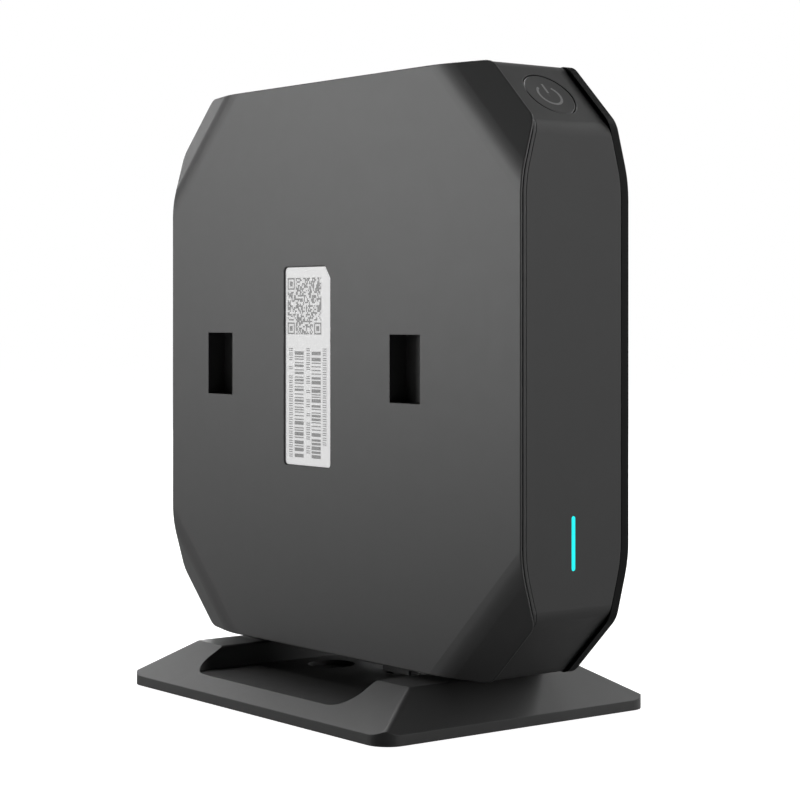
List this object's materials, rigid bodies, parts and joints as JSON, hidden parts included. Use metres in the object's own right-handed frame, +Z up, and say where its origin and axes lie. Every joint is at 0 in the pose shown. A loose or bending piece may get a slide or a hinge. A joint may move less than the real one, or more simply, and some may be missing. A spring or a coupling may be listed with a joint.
{
  "type": "desk communication hub",
  "caption": "Slim eight-sided plastic hub for solar micro inverters, with a round corner button, light bar and wall slots, on a low sloped desk stand.",
  "frame": {"origin": "centre of the stand's footprint, on the surface under its feet", "axes": "+Z up; +X towards the side with the light bar and the round button; -Y towards the labelled cover with the wall slots, +Y towards the plain front cover"},
  "size_m": [0.14, 0.082, 0.1523],
  "materials": {
    "cover_plastic": "fine satin texture",
    "frame_plastic": "fine satin texture",
    "front_plastic": "smooth semi-gloss",
    "stand_plastic": "fine satin texture",
    "label_paper": "matt coated",
    "light_guide_plastic": "clear moulded, lit from within",
    "foam": "closed-cell foam",
    "led": "lens",
    "circuit_board": "solder mask",
    "screw_steel": "zinc plated",
    "chip": "moulded epoxy",
    "thermal_rubber": "soft filled silicone",
    "aluminium": "clear anodised",
    "tinplate": "bright tinned",
    "jack_plastic": "glass-filled",
    "gold": "gold flash",
    "ferrite": "matt",
    "capacitor_can": "bright",
    "antenna_board": "solder mask",
    "lead_jacket": "extruded",
    "plunger_plastic": "moulded",
    "foot_rubber": "matt"
  },
  "bodies": {
    "stand": {"stand_base": "stand_plastic", "stand_floor": "stand_plastic", "stand_feet": "foot_rubber", "stand_screws": "screw_steel"},
    "unit": {"rear_cover": "cover_plastic", "middle_frame": "frame_plastic", "front_cover": "front_plastic", "device_label": "label_paper", "light_guide": "light_guide_plastic", "light_gasket": "foam", "status_leds": "led", "main_board": "circuit_board", "board_screws": "screw_steel", "processor_chip": "chip", "memory_chips": "chip", "thermal_pad": "thermal_rubber", "heat_sink": "aluminium", "wifi_shield_can": "tinplate", "wifi_radio_chip": "chip", "link_shield_can": "tinplate", "link_radio_chip": "chip", "network_jack": "jack_plastic", "jack_contacts": "gold", "network_transformer": "chip", "power_jack": "tinplate", "power_tongue": "jack_plastic", "power_coils": "ferrite", "capacitors": "capacitor_can", "button_switch": "jack_plastic", "switch_bracket": "tinplate", "reset_switch": "jack_plastic", "wifi_antenna": "antenna_board", "link_antenna": "antenna_board", "wifi_antenna_lead": "lead_jacket", "link_antenna_lead": "lead_jacket", "antenna_sockets": "gold"},
    "power_button": {"button_cap": "frame_plastic", "switch_plunger": "plunger_plastic"},
    "reset_button": {"reset_plunger": "plunger_plastic"}
  },
  "joints": [
    {"name": "unit_lift", "type": "slide", "parent": "stand", "child": "unit", "axis": [0, 0, 1], "range_m": [0, 0.02]},
    {"name": "power_button_press", "type": "slide", "parent": "unit", "child": "power_button", "axis": [-0.7071, 0, -0.7071], "range_m": [0, 0.0005], "stiffness_N_per_m": 3000, "springref_m": -0.0002},
    {"name": "reset_press", "type": "slide", "parent": "unit", "child": "reset_button", "axis": [1, 0, 0], "range_m": [0, 0.00025], "stiffness_N_per_m": 4000, "springref_m": -0.0001}
  ]
}
